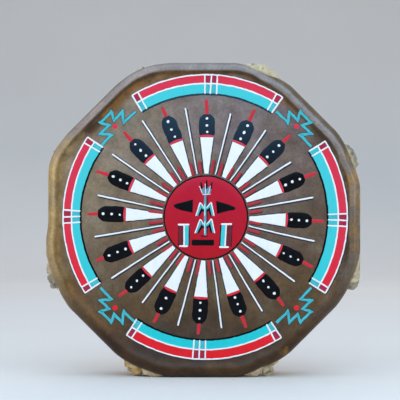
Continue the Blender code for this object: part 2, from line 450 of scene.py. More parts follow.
def hide_surface(name, face, gloss, grain_share):
    """Varnished rawhide, its tone drifting from side to side in stains and patches.  It also carries painted
    light: a grey sky sheen high up and along the crest of its rounded edge, warm light on its left, and
    shade at its foot and along the valley inside the edge.

    face is 0 on the front and 1 on the back.  The places where a tone starts and ends are in
    metres, across from the drum's middle and up from its foot."""
    s = Surface(name, Coat_Roughness=0.22, IOR=1.45, Specular_IOR_Level=0.22)
    tones = {part: pair[face] for part, pair in HIDE_TONES.items()}
    height = s.axis("Z")
    drift = (s.noise(11, 3) - 0.5) * 0.16
    across = s.axis("X") + drift
    # leftness marks the left, where the rounded edge takes painted warm light
    leftness = s.levels(across, -0.12, -0.18) * s.levels(height, 0.345, 0.30)
    leftness = leftness * s.levels(height, 0.10, 0.24, 0.45, 1.0)
    rightness = s.levels(across, 0.04, 0.14) * s.levels(height, 0.30, 0.27)
    edge = edge_tone(s, tones, across, height, leftness, rightness)
    body = s.mix(s.attribute("edge"), head_tone(s, tones, across, height + drift), edge)
    body = stained(s, tones, body, height, leftness, rightness)
    shine = s.attribute("crest") * s.levels(height, 0.10, 0.26, 0.08, 1.0)
    s.feed(s.shader.inputs["Coat Weight"], s.levels(shine, 0.0, 1.0, 0.06, gloss))
    blotch = s.levels(s.noise(62, 5, 0.65), 0.34, 0.68, 1 - 0.20 * grain_share, 1 + 0.22 * grain_share)
    speck = s.levels(s.noise(330, 4, 0.65), 0.34, 0.68, 1 - 0.17 * grain_share, 1 + 0.17 * grain_share)
    shade = blotch * speck
    body = s.mix(1.0, body, s.add("ShaderNodeCombineXYZ", {0: shade, 1: shade, 2: shade}), "MULTIPLY")
    frayed = s.levels(s.noise(150, 4), 0.3, 0.6, 0.55, 1.0)
    body = s.mix(s.attribute("raw") * frayed, body, tones["pale"])
    grain = s.bump(s.noise(420, 4, 0.6), 0.0004, 0.30)
    return s.finish(body, s.levels(s.noise(48, 4), 0.3, 0.7, 0.30, 0.44),
                    s.bump(s.noise(62, 4), 0.0014, 0.30, grain))


def raw_edge_surface(name, pale, deep, hollow):
    """Raw hide where it is cut: fibrous and dull, deeper in tone where it is thick, with dark patches of
    painted shade for the holes among its folds.
    """
    s = Surface(name, IOR=1.45)
    fibre = s.noise(500, 4, 0.7)
    colour = s.mix(s.levels(s.noise(90, 4), 0.35, 0.65), pale, deep)
    # painted shade: dark patches for the holes among the folds
    colour = s.mix(s.levels(s.noise(110, 3, 0.6), 0.54, 0.62), colour, hollow)
    colour = s.mix(s.attribute("lip"), colour, pale)
    colour = s.mix(s.attribute("root") * 0.85, colour, (0.13, 0.085, 0.050))
    colour = s.mix(s.levels(fibre, 0.45, 0.75, 0.0, 0.45), colour, tuple(min(1.0, 1.25 * c) for c in pale))
    return s.finish(colour, s.levels(fibre, 0.3, 0.7, 0.5, 0.75), s.bump(fibre, 0.0006, 0.6))


def lace_surface():
    """A strip of rawhide, dried hard: translucent tan with pale fibrous edges."""
    s = Surface("rawhide_lace", IOR=1.45, Coat_Weight=0.25, Coat_Roughness=0.3)
    colour = s.mix(s.levels(s.noise(60, 4), 0.35, 0.65), (0.50, 0.35, 0.17), (0.33, 0.20, 0.09))
    colour = s.mix(s.levels(s.noise(700, 3), 0.45, 0.7, 0.0, 0.5), colour, (0.64, 0.52, 0.34))
    rough = s.levels(s.noise(200), 0.3, 0.7, 0.38, 0.62)
    return s.finish(colour, rough, s.bump(s.noise(600, 4), 0.0004, 0.5))


def wood_surface():
    """Planed softwood with its grain along the board."""
    s = Surface("frame_wood", IOR=1.45)
    board = s.attribute("board", "Vector")
    rings = s.noise(60, 4, 0.6, board, (0.05, 1.0, 1.0))
    fibre = s.noise(700, 3, 0.6, board, (0.03, 1.0, 1.0))
    colour = s.mix(s.levels(rings, 0.38, 0.62), (0.46, 0.28, 0.13), (0.29, 0.16, 0.07))
    colour = s.mix(s.levels(fibre, 0.4, 0.7, 0.0, 0.5), colour, (0.20, 0.11, 0.05))
    return s.finish(colour, s.levels(fibre, 0.3, 0.7, 0.5, 0.72), s.bump(fibre, 0.0005, 0.5))


def paint_surface(name, colour, shade, wear=0.12, high=None, span=(0.26, 0.35), gloss=0.32):
    """Brushed-on poster paint under varnish: streaky and with thin places.

    Between the two heights of span its colour turns to high, a painted sky reflection, if that is given."""
    s = Surface(name, IOR=1.47, Specular_IOR_Level=gloss, Coat_Weight=0.04, Coat_Roughness=0.28)
    streak = s.noise(140, 4, 0.6, stretch=(1.0, 1.0, 0.35))
    body = s.mix(s.levels(streak, 0.35, 0.7, 0.0, 0.8), colour, shade)
    if high:
        # painted sky reflection: the colour turns to high higher up
        body = s.mix(s.levels(s.axis("Z"), *span), body, high)
    thin = s.levels(s.noise(260, 5, 0.7), 0.60, 0.74, 0.0, wear * 4)
    body = s.mix(thin, body, tuple(c * 0.45 for c in shade))
    rough = s.levels(s.noise(90), 0.3, 0.7, 0.34, 0.52)
    return s.finish(body, rough, s.bump(s.noise(320, 4, stretch=(1.0, 1.0, 0.5)), 0.0004, 0.35))


# Raw hides: the pale tone, the deep one, and the painted shade of the holes among the folds
RAW_HIDES = {
    "raw_hide_edge": ((0.60, 0.48, 0.31), (0.40, 0.27, 0.13), (0.30, 0.19, 0.09)),
    "raw_tan_hide": ((0.66, 0.55, 0.36), (0.33, 0.25, 0.14), (0.06, 0.045, 0.03)),
    "raw_golden_hide": ((0.72, 0.55, 0.28), (0.42, 0.20, 0.035), (0.12, 0.06, 0.02)),
    "raw_grey_hide": ((0.36, 0.32, 0.22), (0.16, 0.13, 0.085), (0.05, 0.04, 0.03)),
}
# Paints: each one's arguments for paint_surface; their high tones are painted sky reflections higher up
PAINTS = {
    "white_paint": dict(colour=(0.86, 0.84, 0.82), shade=(0.78, 0.77, 0.76), wear=0.04),
    "red_paint": dict(colour=(0.80, 0.004, 0.012), shade=(0.70, 0.004, 0.010),
                      high=(0.70, 0.022, 0.054), span=(0.06, 0.22)),
    "turquoise_paint": dict(colour=(0.008, 0.55, 0.57), shade=(0.008, 0.49, 0.52),
                            high=(0.048, 0.53, 0.555), span=(0.05, 0.20)),
    "teal_paint": dict(colour=(0.055, 0.46, 0.50), shade=(0.04, 0.36, 0.41), wear=0.2),
    "maroon_paint": dict(colour=(0.42, 0.010, 0.045), shade=(0.30, 0.010, 0.040)),
    "crimson_paint": dict(colour=(0.47, 0.001, 0.012), shade=(0.40, 0.001, 0.010),
                          high=(0.47, 0.004, 0.026), span=(0.17, 0.26), gloss=0.22),
    "black_paint": dict(colour=(0.003, 0.003, 0.004), shade=(0.006, 0.006, 0.008), wear=0.04,
                        high=(0.020, 0.042, 0.066), gloss=0.05),
    "quill_paint": dict(colour=(0.60, 0.016, 0.030), shade=(0.50, 0.014, 0.028)),
    "wine_paint": dict(colour=(0.16, 0.006, 0.018), shade=(0.12, 0.005, 0.014)),
    "slate_paint": dict(colour=(0.15, 0.28, 0.36), shade=(0.11, 0.21, 0.28), wear=0.2),
    # dark ink outlines, laid partly offset down and to the right of the white lines as a painted shadow
    "ink_outline_and_shadow": dict(colour=(0.020, 0.016, 0.026), shade=(0.038, 0.024, 0.022), wear=0.10),
    "dull_red_paint": dict(colour=(0.52, 0.020, 0.030), shade=(0.32, 0.016, 0.022), wear=0.2),
}


def make_surfaces():
    surfaces = {"front_hide": hide_surface("front_hide", 0, 0.9, 1.0),
                "back_hide": hide_surface("back_hide", 1, 0.35, 0.45),
                "rawhide_lace": lace_surface(), "frame_wood": wood_surface()}
    surfaces.update((name, raw_edge_surface(name, *tones)) for name, tones in RAW_HIDES.items())
    surfaces.update((name, paint_surface(name, **tones)) for name, tones in PAINTS.items())
    return surfaces


# ================================================================ the hides
def corner_flare(flares, side, run, from_edge):
    """How far raw hide stands off the side near a corner, at a distance from its cut edge."""
    past_straight = max(abs(run) - STRAIGHT_HALF, 0.0)
    room = CORNER_RADIUS * (1 / math.cos(past_straight / CORNER_RADIUS) - 1)
    corner = side if run > 0 else side - 1
    pleat = 0.72 + 0.45 * wave(run * 190 + corner * 3.1, side * 5.3, 2.0)
    rise = 1 - smooth(from_edge, 0.0, FLARE_WIDTH)
    return room * flares[corner % SIDES] * max(0.0, min(pleat, 1.0)) * rise


def tone_inset(inset, across, up):
    """The inset at which a point takes its tones: on the right and upper right they lie further in."""
    angle = math.degrees(math.atan2(up, across))
    return inset - TONE_SLIDE * smooth(angle, -34, -20) * (1 - smooth(angle, 60, 72))


def roll_bands(inset):
    """How far a point belongs to the roll's crest, where a painted sheen lies, the valley inside it, where
    painted shade lies, and its brink.
    """
    crest = smooth(inset, 0.0008, 0.0026) * (1 - smooth(inset, 0.0084, 0.0108))
    valley = smooth(inset, 0.0098, 0.0118) * (1 - smooth(inset, 0.0135, 0.0165))
    return crest, valley, 1 - smooth(inset, 0.0003, 0.0013)


def hide_column(facing, side, run, flares):
    """One strip of hide, from its cut edge over the rounded edge to the middle of the head.

    Each row is a point and its shares, in the order of HIDE_SHARES."""
    rows = []
    edge = flange_edge(run) + CUT_RAGGED * wave(run * 90 + 11 * side, side * 3.7, facing * 4.0)
    top = HALF_DEPTH - SHOULDER_DOWN
    for i in range(FLANGE_ROWS):
        from_edge = (top - edge) * i / FLANGE_ROWS
        pared = 1 - smooth(from_edge, 0.002, PARED_WIDTH)
        standing = corner_flare(flares, side, run, from_edge)
        point = on_outline(side, run, PARED_INSET * pared - standing, facing * (edge + from_edge))
        raw = 1 - smooth(from_edge, 0.001, 0.006 + 300 * standing ** 2)
        rows.append((point, raw, 1.0, 0.0, 1 - (1 - PARED_SHARE) * pared, 0.0, 0.0, 0.0))
    for i in range(SHOULDER_ROWS + 1):
        angle = math.pi / 2 * i / SHOULDER_ROWS
        inset = SHOULDER_IN * (1 - math.cos(angle))
        point = on_outline(side, run, inset, facing * HALF_DEPTH)
        across, up = point.x - MIDDLE.x, point.z - MIDDLE.z
        if i < SHOULDER_ROWS * 0.6:         # too steep here to be found from the head's plane
            depth = HALF_DEPTH - SHOULDER_DOWN * (1 - math.sin(angle))
        else:
            depth = face_depth(across, up, facing)
        point.y = MIDDLE.y + facing * depth
        toned = tone_inset(inset, across, up)
        rows.append((point, 0.0, 1.0, smooth(toned, *HOLLOW_START), 1.0, *roll_bands(toned)))
    rim = rows[-1][0] - MIDDLE
    for i in range(1, HEAD_ROWS):
        share = 1 - (i / HEAD_ROWS) ** 1.35
        across, up = rim.x * share, rim.z * share
        point = MIDDLE + Vector((across, facing * face_depth(across, up, facing), up))
        inset = edge_inset(across, up, facing)
        toned = tone_inset(inset, across, up)
        hollow = smooth(toned, *HOLLOW_START) * (1 - smooth(inset, 0.017, 0.031))
        rows.append((point, 0.0, 1 - smooth(toned, 0.013, 0.022), hollow, 1.0, *roll_bands(toned)))
    return rows


def make_hide(name, facing, flares, surface, raw, slot):
    builder = bmesh.new()
    layers = [builder.verts.layers.float.new(share) for share in HIDE_SHARES]
    columns = []
    for side in range(SIDES):
        for i in range(COLUMNS_PER_SIDE):
            run = RUN_HALF * (2 * i / COLUMNS_PER_SIDE - 1)
            column = []
            for point, *shares in hide_column(facing, side, run, flares):
                vertex = builder.verts.new(point)
                for layer, share in zip(layers, shares):
                    vertex[layer] = share
                column.append(vertex)
            columns.append(column)
    for column, following in zip(columns, columns[1:] + columns[:1]):
        for row in range(len(column) - 1):
            corners = (column[row], following[row], following[row + 1], column[row + 1])
            builder.faces.new(corners if facing < 0 else reversed(corners))
    cap = [column[-1] for column in columns]
    builder.faces.new(cap if facing < 0 else list(reversed(cap)))
    piece = new_piece(name, builder, surface, raw, slot=slot, replaces=name, smooth_angle=70)
    thin = piece.vertex_groups.new(name="thickness")
    for vertex, share in zip(piece.data.vertices, piece.data.attributes["thickness"].data):
        thin.add([vertex.index], share.value, "REPLACE")
    solid = piece.modifiers.new("hide_thickness", "SOLIDIFY")
    solid.thickness = HIDE_THICKNESS
    solid.offset = -1
    solid.vertex_group = "thickness"
    solid.material_offset = 1
    solid.material_offset_rim = 1
    apply_modifiers(piece)


# ================================================================ the wooden frame
def stave_section(side, run):
    """The board's cross-section at one place along it, and where each point is in the board."""
    inner_outward = APOTHEM - WOOD_INSET - BOARD_THICKNESS
    inner_along = inner_outward * math.tan(HALF_TURN) * run / RUN_HALF
    half_width = HALF_DEPTH - WOOD_INSET
    front = FRONT_SINK + 0.0003 - half_width
    section = [(on_side(side, inner_along, inner_outward, front), inner_outward, front)]
    for sign in (-1, 1):
        rounded = []
        for i in range(9):
            angle = math.pi / 2 * i / 8
            inset = WOOD_INSET + BOARD_ROUNDING * (1 - math.sin(angle))
            depth = sign * (half_width - BOARD_ROUNDING * (1 - math.cos(angle)))
            rounded.append((on_outline(side, run, inset, depth), APOTHEM - inset, depth))
        section.extend(rounded if sign < 0 else reversed(rounded))
    section.append((on_side(side, inner_along, inner_outward, half_width), inner_outward, half_width))
    glue = on_side(side, math.copysign(GLUE_HALF, run), 0.0, 0.0) - on_side(side, 0.0, 0.0, 0.0)
    if abs(run) > RUN_HALF - 0.0005:
        section = [(point - glue, outward, depth) for point, outward, depth in section]
    return section


def make_stave(side, surface):
    name = f"frame_stave_{side + 1}"
    builder = bmesh.new()
    board = builder.verts.layers.float_vector.new("board")
    sections = []
    for i in range(STAVE_STEPS + 1):
        run = RUN_HALF * (2 * i / STAVE_STEPS - 1)
        ring = []
        for point, outward, depth in stave_section(side, run):
            vertex = builder.verts.new(point)
            vertex[board] = Vector((run + side, outward, depth))
            ring.append(vertex)
        sections.append(ring)
    skin_sections(builder, sections)
    new_piece(name, builder, surface, slot="frame_wood", replaces=name, smooth_angle=35)


# ================================================================ the laces
def lace_corners():
    """A side's lace as (run, depth) corners: from its knot, flange to flange, to its end."""
    pitch = 2 * RUN_HALF / TURNS_PER_FLANGE
    corners = [Vector((-RUN_HALF, 0.0))]
    for i in range(2 * TURNS_PER_FLANGE - 1):
        run = (i + 1) * pitch / 2 - RUN_HALF
        depth = flange_edge(run) + LACE_SETBACK
        corners.append(Vector((run, -depth if i % 2 == 0 else depth)))
    corners.append(Vector((RUN_HALF - TAIL_CLEARANCE, 0.0)))
    return corners


def strand(route, start, end):
    steps = max(2, round((end - start).length / LACE_STEP))
    route.extend((start.lerp(end, i / steps), i / steps) for i in range(1, steps + 1))


def lace_route():
    """Points (run, depth) along a side's lace, each with where in a stitch it is: 0 to 1 along a
    straight strand, 1 to 2 round the turn at a hole."""
    corners = lace_corners()
    route = [(corners[0], 0.0)]
    last = corners[0]
    for before, corner, after in zip(corners, corners[1:], corners[2:]):
        back = (before - corner).normalized()
        ahead = (after - corner).normalized()
        half_angle = back.angle(ahead) / 2
        start = corner + back * LACE_TURN_RADIUS / math.tan(half_angle)
        end = corner + ahead * LACE_TURN_RADIUS / math.tan(half_angle)
        centre = corner + (back + ahead).normalized() * LACE_TURN_RADIUS / math.sin(half_angle)
        strand(route, last, start)
        sweep = -(start - centre).angle_signed(end - centre)
        for i in range(1, 7):
            route.append((centre + Matrix.Rotation(sweep * i / 6, 2) @ (start - centre), 1 + i / 6))
        last = end
    strand(route, last, corners[-1])
    return route


def lace_inset(point, part):
    """Depth of the lace's middle: beneath one flange, over the next one's edge, into its hole."""
    under = 0.0
    if part > 1:
        under = smooth(part, 1.0, 1.45)
    elif part < 0.5:
        under = smooth(abs(point.y) - flange_edge(point.x), -0.006, -0.0005)
    return LACE_OVER + (LACE_UNDER - LACE_OVER) * under


def lace_ring(builder, side, point, across, inset, half_width, half_thickness):
    """A flat strip's cross-section with rounded edges."""
    ring = []
    for i in range(10):
        angle = 2 * math.pi * (i + 0.5) / 10
        wide = math.copysign(abs(math.cos(angle)) ** 0.6, math.cos(angle)) * half_width
        thick = math.copysign(abs(math.sin(angle)) ** 0.8, math.sin(angle)) * half_thickness
        place = point + across * wide
        ring.append(builder.verts.new(on_outline(side, place.x, inset + thick, place.y)))
    return ring


def make_lace(side, surface):
    name = f"side_lace_{side + 1}"
    builder = bmesh.new()
    route = lace_route()
    sections = []
    for i, (point, part) in enumerate(route):
        heading = heading_at([place for place, _ in route[max(i - 1, 0):i + 2]])
        across = Vector((-heading.y, heading.x))
        half_width = LACE_WIDTH / 2 * (1 + 0.16 * wave(i * 0.11, side * 9.1))
        half_thickness = LACE_THICKNESS / 2 * (1 + 0.15 * wave(i * 0.17, side * 2.3, 5))
        sections.append(lace_ring(builder, side, point, across, lace_inset(point, part),
                                  half_width, half_thickness))
    skin_sections(builder, sections)
    new_piece(name, builder, surface, slot="lace_hide", replaces=name, smooth_angle=60)


def lay_tube(builder, places, widths, thickness, lie):
    """A tube along places, widths across, and thickness square to the surface it lies on."""
    rings = []
    for i, place in enumerate(places):
        heading = heading_at(places[max(i - 1, 0):i + 2])
        across = heading.cross(lie).normalized()
        lift = across.cross(heading)
        ring = []
        for k in range(TUBE_SIDES):
            angle = 2 * math.pi * k / TUBE_SIDES
            arm = across * math.cos(angle) * widths[i] / 2 + lift * math.sin(angle) * thickness / 2
            ring.append(builder.verts.new(place + arm))
        rings.append(ring)
    skin_sections(builder, rings)


# ================================================================ knots, flaps and the lace end
def near_corner(corner, run, inset, depth):
    """The point at length run past the middle of a corner, before it if negative."""
    return on_outline(*past_corner(corner, run), inset, depth)


def past_corner(corner, run):
    """The side and the length along it at length run past the middle of a corner."""
    return (corner, RUN_HALF + run) if run < 0 else (corner + 1, run - RUN_HALF)


def make_knot(corner, surface):
    """The knot a lace starts from: a strip tied on itself, with its two short ends."""
    builder = bmesh.new()
    along = (near_corner(corner, 0.001, 0.0, 0.0) - near_corner(corner, -0.001, 0.0, 0.0)).normalized()
    outward = (near_corner(corner, 0.0, 0.0, 0.0) - near_corner(corner, 0.0, 0.001, 0.0)).normalized()
    middle = near_corner(corner, KNOT_RUN, KNOT_INSET, uneven(0.0015, corner, 3))
    tilt = Matrix.Rotation(uneven(1.2, corner, 7), 2)

    def placed(reach, angle, lift):
        turned = tilt @ Vector((reach * math.cos(angle), reach * math.sin(angle)))
        return middle + along * turned.x + Vector((0, 1, 0)) * turned.y + outward * lift

    loop = []
    for i in range(61):
        angle = 2 * math.pi * (i / 60 * 0.985)
        reach = KNOT_RADIUS * (2 + math.cos(3 * angle)) / 3
        loop.append(placed(reach, 2 * angle, 0.0011 * math.sin(3 * angle)))
    lay_tube(builder, loop, [KNOT_STRIP] * len(loop), 0.0014, outward)
    shares = [i / 8 for i in range(9)]
    for turn, length in ((0.5 + uneven(0.6, corner, 1), 0.009), (3.5 + uneven(0.6, corner, 2), 0.0075)):
        end = [placed(KNOT_RADIUS * 0.7 + length * share, turn + 0.5 * share ** 2,
                      0.0004 + 0.0016 * share ** 2) for share in shares]
        lay_tube(builder, end, [KNOT_STRIP * (1 - 0.45 * share ** 3) for share in shares], 0.0011, outward)
    new_piece(f"corner_knot_{corner + 1}", builder, surface, slot="lace_hide", smooth_angle=60)


# The raw flaps at the front head's corners: corner, start and end of the flap from the corner's
# middle, how far it stands off the true outline, its depths from mid-depth, and its hide
CORNER_FLAPS = (
    (0, -0.030, -0.002, -0.0010, (0.037, 0.032), "raw_hide_edge"),
    (0, -0.007, 0.013, 0.0056, (0.034, 0.021), "raw_tan_hide"),
    (0, 0.004, 0.034, -0.0050, (0.034, 0.030), "raw_hide_edge"),
    (1, -0.004, 0.036, 0.0020, (0.036, 0.027), "raw_tan_hide"),
    (1, -0.014, 0.010, 0.0028, (0.031, 0.018), "raw_grey_hide"),
    (2, -0.026, 0.036, -0.0056, (0.034, 0.030), "raw_hide_edge"),
    (2, -0.018, 0.024, 0.0002, (0.030, 0.019), "raw_grey_hide"),
    (3, -0.024, 0.026, -0.0016, (0.040, 0.034), "raw_hide_edge"),
    (3, -0.006, 0.030, 0.0036, (0.031, 0.018), "raw_tan_hide"),
    (6, -0.028, -0.010, 0.0028, (0.032, 0.022), "raw_hide_edge"),
    (6, -0.014, 0.012, 0.0012, (0.030, 0.018), "raw_grey_hide"),
    (7, -0.028, 0.004, 0.0040, (0.036, 0.024), "raw_golden_hide"),
    (7, -0.020, 0.006, 0.0070, (0.029, 0.017), "raw_hide_edge"),
    (7, 0.000, 0.030, 0.0000, (0.037, 0.032), "raw_hide_edge"),
)


def make_flap(name, corner, start, end, stand, depths, surface):
    """A gathered flap of raw hide that stands off the side at a corner, behind the front edge."""
    builder = bmesh.new()
    lip_layer = builder.verts.layers.float.new("lip")
    root_layer = builder.verts.layers.float.new("root")
    near, far = depths
    rings = []
    steps = max(12, round((end - start) / FLAP_STEP))
    for i in range(steps + 1):
        share = i / steps
        run = start + (end - start) * share
        ends = smooth(share, 0.0, 0.20) * smooth(1 - share, 0.0, 0.20)
        pleat = 0.84 + 0.26 * wave(run * 130, corner * 5.1, 1.0) + 0.10 * wave(run * 330, corner * 2.2, 3.0)
        reach = (stand + outline_fall(*past_corner(corner, run), -near)) * ends * pleat + 0.0004
        root_depth = near - (0.35 * (1 - ends) + 0.12 * wave(run * 120, corner * 4.1)) * (near - far)
        lip_depth = far + (0.45 * (1 - ends) + 0.16 * wave(run * 150, 2.0, corner)) * (near - far)
        buried = shoulder_inset(root_depth) + FLAP_ROOT_INSET
        torn = 0.6 + 0.4 * wave(run * 150, corner * 1.9, 4.0)
        outer, inner = [], []
        for k in range(9):
            fold = k / 8
            crumple = 0.0014 * wave(run * 230, fold * 2.6, corner * 2.7) * ends * fold
            rise = reach * (1.25 * fold - 0.25 * fold ** 3) - buried * (1 - fold) ** 2 + crumple
            depth = root_depth + (lip_depth - root_depth) * fold
            thick = FLAP_THICKNESS * (1 - 0.35 * fold)
            for ring, inset, spare in ((outer, -rise, 0.0), (inner, thick - rise, thick)):
                place = near_corner(corner, run, inset, -depth)
                room = APOTHEM - FLAP_CLEARANCE - spare
                place.z = MIDDLE.z + min(max(place.z - MIDDLE.z, -room), room)
                place.x = min(max(place.x, spare - APOTHEM), APOTHEM - spare)
                vertex = builder.verts.new(place)
                vertex[lip_layer] = smooth(fold, 0.72, 0.95) * torn
                vertex[root_layer] = 1 - smooth(fold + 0.10 * wave(run * 200, corner, 6.0), 0.0, 0.28)
                ring.append(vertex)
        rings.append(outer + inner[::-1])
    skin_sections(builder, rings)
    new_piece(name, builder, surface, slot="lace_hide", smooth_angle=60)


# The loose lace end at the lower left: run past the corner, inset, distance from mid-depth, width
LACE_END = ((-0.0220, 0.0008, 0.0200, 0.0016), (-0.0200, -0.0006, 0.0220, 0.0017),
            (-0.0185, -0.0022, 0.0240, 0.0017), (-0.0165, -0.0034, 0.0250, 0.0016),
            (-0.0145, -0.0040, 0.0255, 0.0015), (-0.0125, -0.0038, 0.0255, 0.0013),
            (-0.0108, -0.0026, 0.0250, 0.0010))


def make_lace_end(surface):
    builder = bmesh.new()
    places = [near_corner(6, run, inset, -depth) for run, inset, depth, _ in LACE_END]
    lay_tube(builder, places, [width for *_, width in LACE_END], 0.0009, Vector((0, 1, 0)))
    new_piece("lace_end", builder, surface, slot="lace_hide", smooth_angle=60)


# ================================================================ paint
class Coat:
    """Thin raised paint of one colour on the front head."""

    def __init__(self, name, surface, slot, layer):
        self.name, self.surface, self.slot = name, surface, slot
        self.height = 0.00022 + 0.00007 * layer
        self.builder = bmesh.new()
        self.seed = 0.0

    def vertex(self, place, share):
        """share 0 is sunk just into the hide, 1 is the coat's full height."""
        height = (PAINT_SUNK + self.height) * share - PAINT_SUNK
        depth = face_depth(place.x, place.y) + height
        return self.builder.verts.new(MIDDLE + Vector((place.x, -depth, place.y)))

    def stroke(self, places, half_widths, closed=False, wobble=0.0002, lanes=3):
        """A brush stroke along places, with its half-width at each."""
        self.seed += 1.7
        rings = []
        count = len(places)
        for i, place in enumerate(places):
            if closed:
                before, after = places[i - 1], places[(i + 1) % count]
            else:
                before, after = places[max(i - 1, 0)], places[min(i + 1, count - 1)]
            heading = (after - before).normalized()
            across = Vector((-heading.y, heading.x))
            if 0 < i < count - 1 or closed:
                turn = (place - before).normalized().dot((after - place).normalized())
                across *= 1 / max(0.45, math.sqrt(max(0.0, (1 + turn) / 2)))
            drift = wobble * wave(place.x * 150, place.y * 150, self.seed)
            left = half_widths[i] + wobble * wave(place.x * 330, place.y * 330, self.seed + 40) + drift
            right = half_widths[i] + wobble * wave(place.x * 330, place.y * 330, self.seed + 80) - drift
            left, right = max(left, 0.0002), max(right, 0.0002)
            bevel = min(0.00025, 0.4 * left, 0.4 * right)
            shares = [lane / (lanes - 1) for lane in range(lanes)]
            profile = [(-right, 0), (-right, 0.6)]
            profile += [(bevel - right + (left + right - 2 * bevel) * share, 1) for share in shares]
            profile += [(left, 0.6), (left, 0)]
            profile += [(left - (left + right) * share, 0) for share in shares[1:-1]]
            rings.append([self.vertex(place + across * reach, share) for reach, share in profile])
        skin_sections(self.builder, rings, closed)

    def line(self, start, end, half_start, half_end, steps=8, bow=0.0):
        """A straight stroke with rounded ends, bowed sideways a little."""
        side = Vector((-(end - start).y, (end - start).x)).normalized()
        places, halves = [], []
        for i in range(steps + 1):
            share = i / steps
            places.append(start.lerp(end, share) + side * bow * math.sin(math.pi * share))
            half = half_start + (half_end - half_start) * share
            halves.append(half * (0.55 if i in (0, steps) else 1.0))
        places.insert(1, start.lerp(end, min(0.25, half_start / (end - start).length)))
        halves.insert(1, half_start)
        places.insert(-1, end.lerp(start, min(0.25, half_end / (end - start).length)))
        halves.insert(-1, half_end)
        places.sort(key=lambda place: (place - start).dot(end - start))
        self.stroke(places, halves)

    def blob(self, centre, radius, points=14, squash=1.0, turn=0.0):
        """A dot of paint with a domed top."""
        self.seed += 1.3
        rings = []
        for share, size in ((0, 1.0), (0.6, 1.0), (1, 0.78), (1.25, 0.4)):
            ring = []
            for i in range(points):
                angle = 2 * math.pi * i / points
                reach = radius * size * (1 + 0.09 * wave(math.cos(angle), math.sin(angle), self.seed))
                arm = Vector((reach * math.cos(angle), reach * squash * math.sin(angle)))
                ring.append(self.vertex(centre + Matrix.Rotation(turn, 2) @ arm, share))
            rings.append(ring)
        skin_sections(self.builder, rings)

    def area(self, corners):
        """A filled shape with straight sides between its corners, in order round it."""
        self.seed += 1.1
        outline = []
        for start, end in zip(corners, corners[1:] + corners[:1]):
            steps = max(1, round((end - start).length / AREA_STEP))
            outline.extend(start.lerp(end, i / steps) for i in range(steps))
        centre = sum(outline, Vector((0, 0))) / len(outline)
        wobbled = []
        for place in outline:
            shift = 0.00022 * wave(place.x * 260, place.y * 260, self.seed)
            wobbled.append(place + (place - centre).normalized() * shift)
        rings = []
        for share, size in ((0, 0.0), (0.6, 0.0), (1, 0.0003)):
            ring = []
            for place in wobbled:
                inward = (centre - place).normalized() * min(size, (centre - place).length * 0.3)
                ring.append(self.vertex(place + inward, share))
            rings.append(ring)
        for share in (0.6, 0.3):
            rings.append([self.vertex(centre.lerp(place, share), 1) for place in wobbled])
        skin_sections(self.builder, rings)

    def finish(self):
        new_piece(self.name, self.builder, self.surface, slot=self.slot, smooth_angle=50)


# Where the painting lies, from the middle of the head
PAINT_MIDDLE = Vector((0.0033, 0.0037))
PAINT_SUNK = 0.00012          # a coat's underside lies this far inside the hide
MILLIMETRE = 0.001
WIDE_LANES = 9                # wide strokes need more points across to follow the hide
AREA_STEP = 0.002             # between the points round a filled shape
# Each arc's outer edge, the line between its red and its turquoise, and its inner edge
ARC_RIMS = ((0.1839, 0.1718, 0.1592), (0.1828, 0.1704, 0.1577), (0.1838, 0.1706, 0.1590),
            (0.1844, 0.1730, 0.1602))
# Degrees clockwise from the top at which each arc starts, has its middle bars, and ends
ARC_SPANS = ((-31.2, 2.2, 32.5), (57.5, 91.3, 122.5), (148.0, 182.8, 214.0), (238.0, 270.2, 304.1))
ARC_SLIM = (0.0, 0.0, 0.0, 0.0020)          # how much thinner an arc's middle is than its ends
ARC_STEPS = 60
BAR_SPACING = 2.6
BAR_HALF = 0.0010
FEATHERS = 16
FEATHER_START = 0.0560
BODY_END = 0.1028
BODY_HALF = (0.0027, 0.0087)  # a feather's half-width at either end of its body
TIP_HALF = 0.0101             # and at its tip's widest
TIP_START = 0.1052
TIP_END = 0.1372
QUILL_END = 0.1520
DOT_REACHES = (0.1105, 0.1203, 0.1308)
TWO_DOT_FEATHER = 9
TWO_DOTS = (0.1158, 0.1304)
RAY_START = 0.0562
RAY_END = 0.1420
DASH_START = 0.0556
DASH_END = 0.0735
DASH_OFFSET = 5.1             # degrees between a ray and the dashes beside it
# The brush wandered: degrees that each feather and ray is turned, and what they fall short
FEATHER_TURN = (0.7, 1.8, 0.7, 0.3, 2.0, 2.3, 3.2, 2.6, 3.6, 3.6, 2.0, 0.8, 1.9, 1.0, 0.8, 1.0)
TIP_SHORT = (4.8, 1.8, -1.0, 0.6, 0.8, 0.0, -1.4, 2.2, 0.0, -0.7, -1.3, -4.0, -1.8, 0.8, 0.5, -1.6)
RAY_TURN = (2.2, 0.8, 0.8, 0.8, 1.2, 2.2, 2.8, 3.2, 3.2, 2.8, 0.8, 1.2, 0.2, 0.2, 0.4, 0.6)
RAY_SHORT = (4.8, 6.2, 11.5, 1.1, -1.4, 0.5, 0.5, -2.4, -2.2, 4.5, -2.9, -3.4, 0.0, -3.3, -6.9, -0.9)
# Half a zigzag: how far out each corner is, and how far to the side of the gap's middle
ZIGZAG = ((0.1815, 0.0102), (0.1718, 0.0043), (0.1716, 0.0199), (0.1610, 0.0112), (0.1600, 0.0318))
ZIGZAG_DOT = 0.1652
DISC_RADIUS = 0.0540


def polar(radius, degrees, sideways=0.0):
    """A place at a radius from the painting's middle, degrees clockwise from the top, and moved
    sideways (clockwise)."""
    angle = math.radians(degrees)
    outward = Vector((math.sin(angle), math.cos(angle)))
    return PAINT_MIDDLE + outward * radius + Vector((outward.y, -outward.x)) * sideways


def arc(radius, start, end, steps=ARC_STEPS):
    return [polar(radius, start + (end - start) * i / steps) for i in range(steps + 1)]


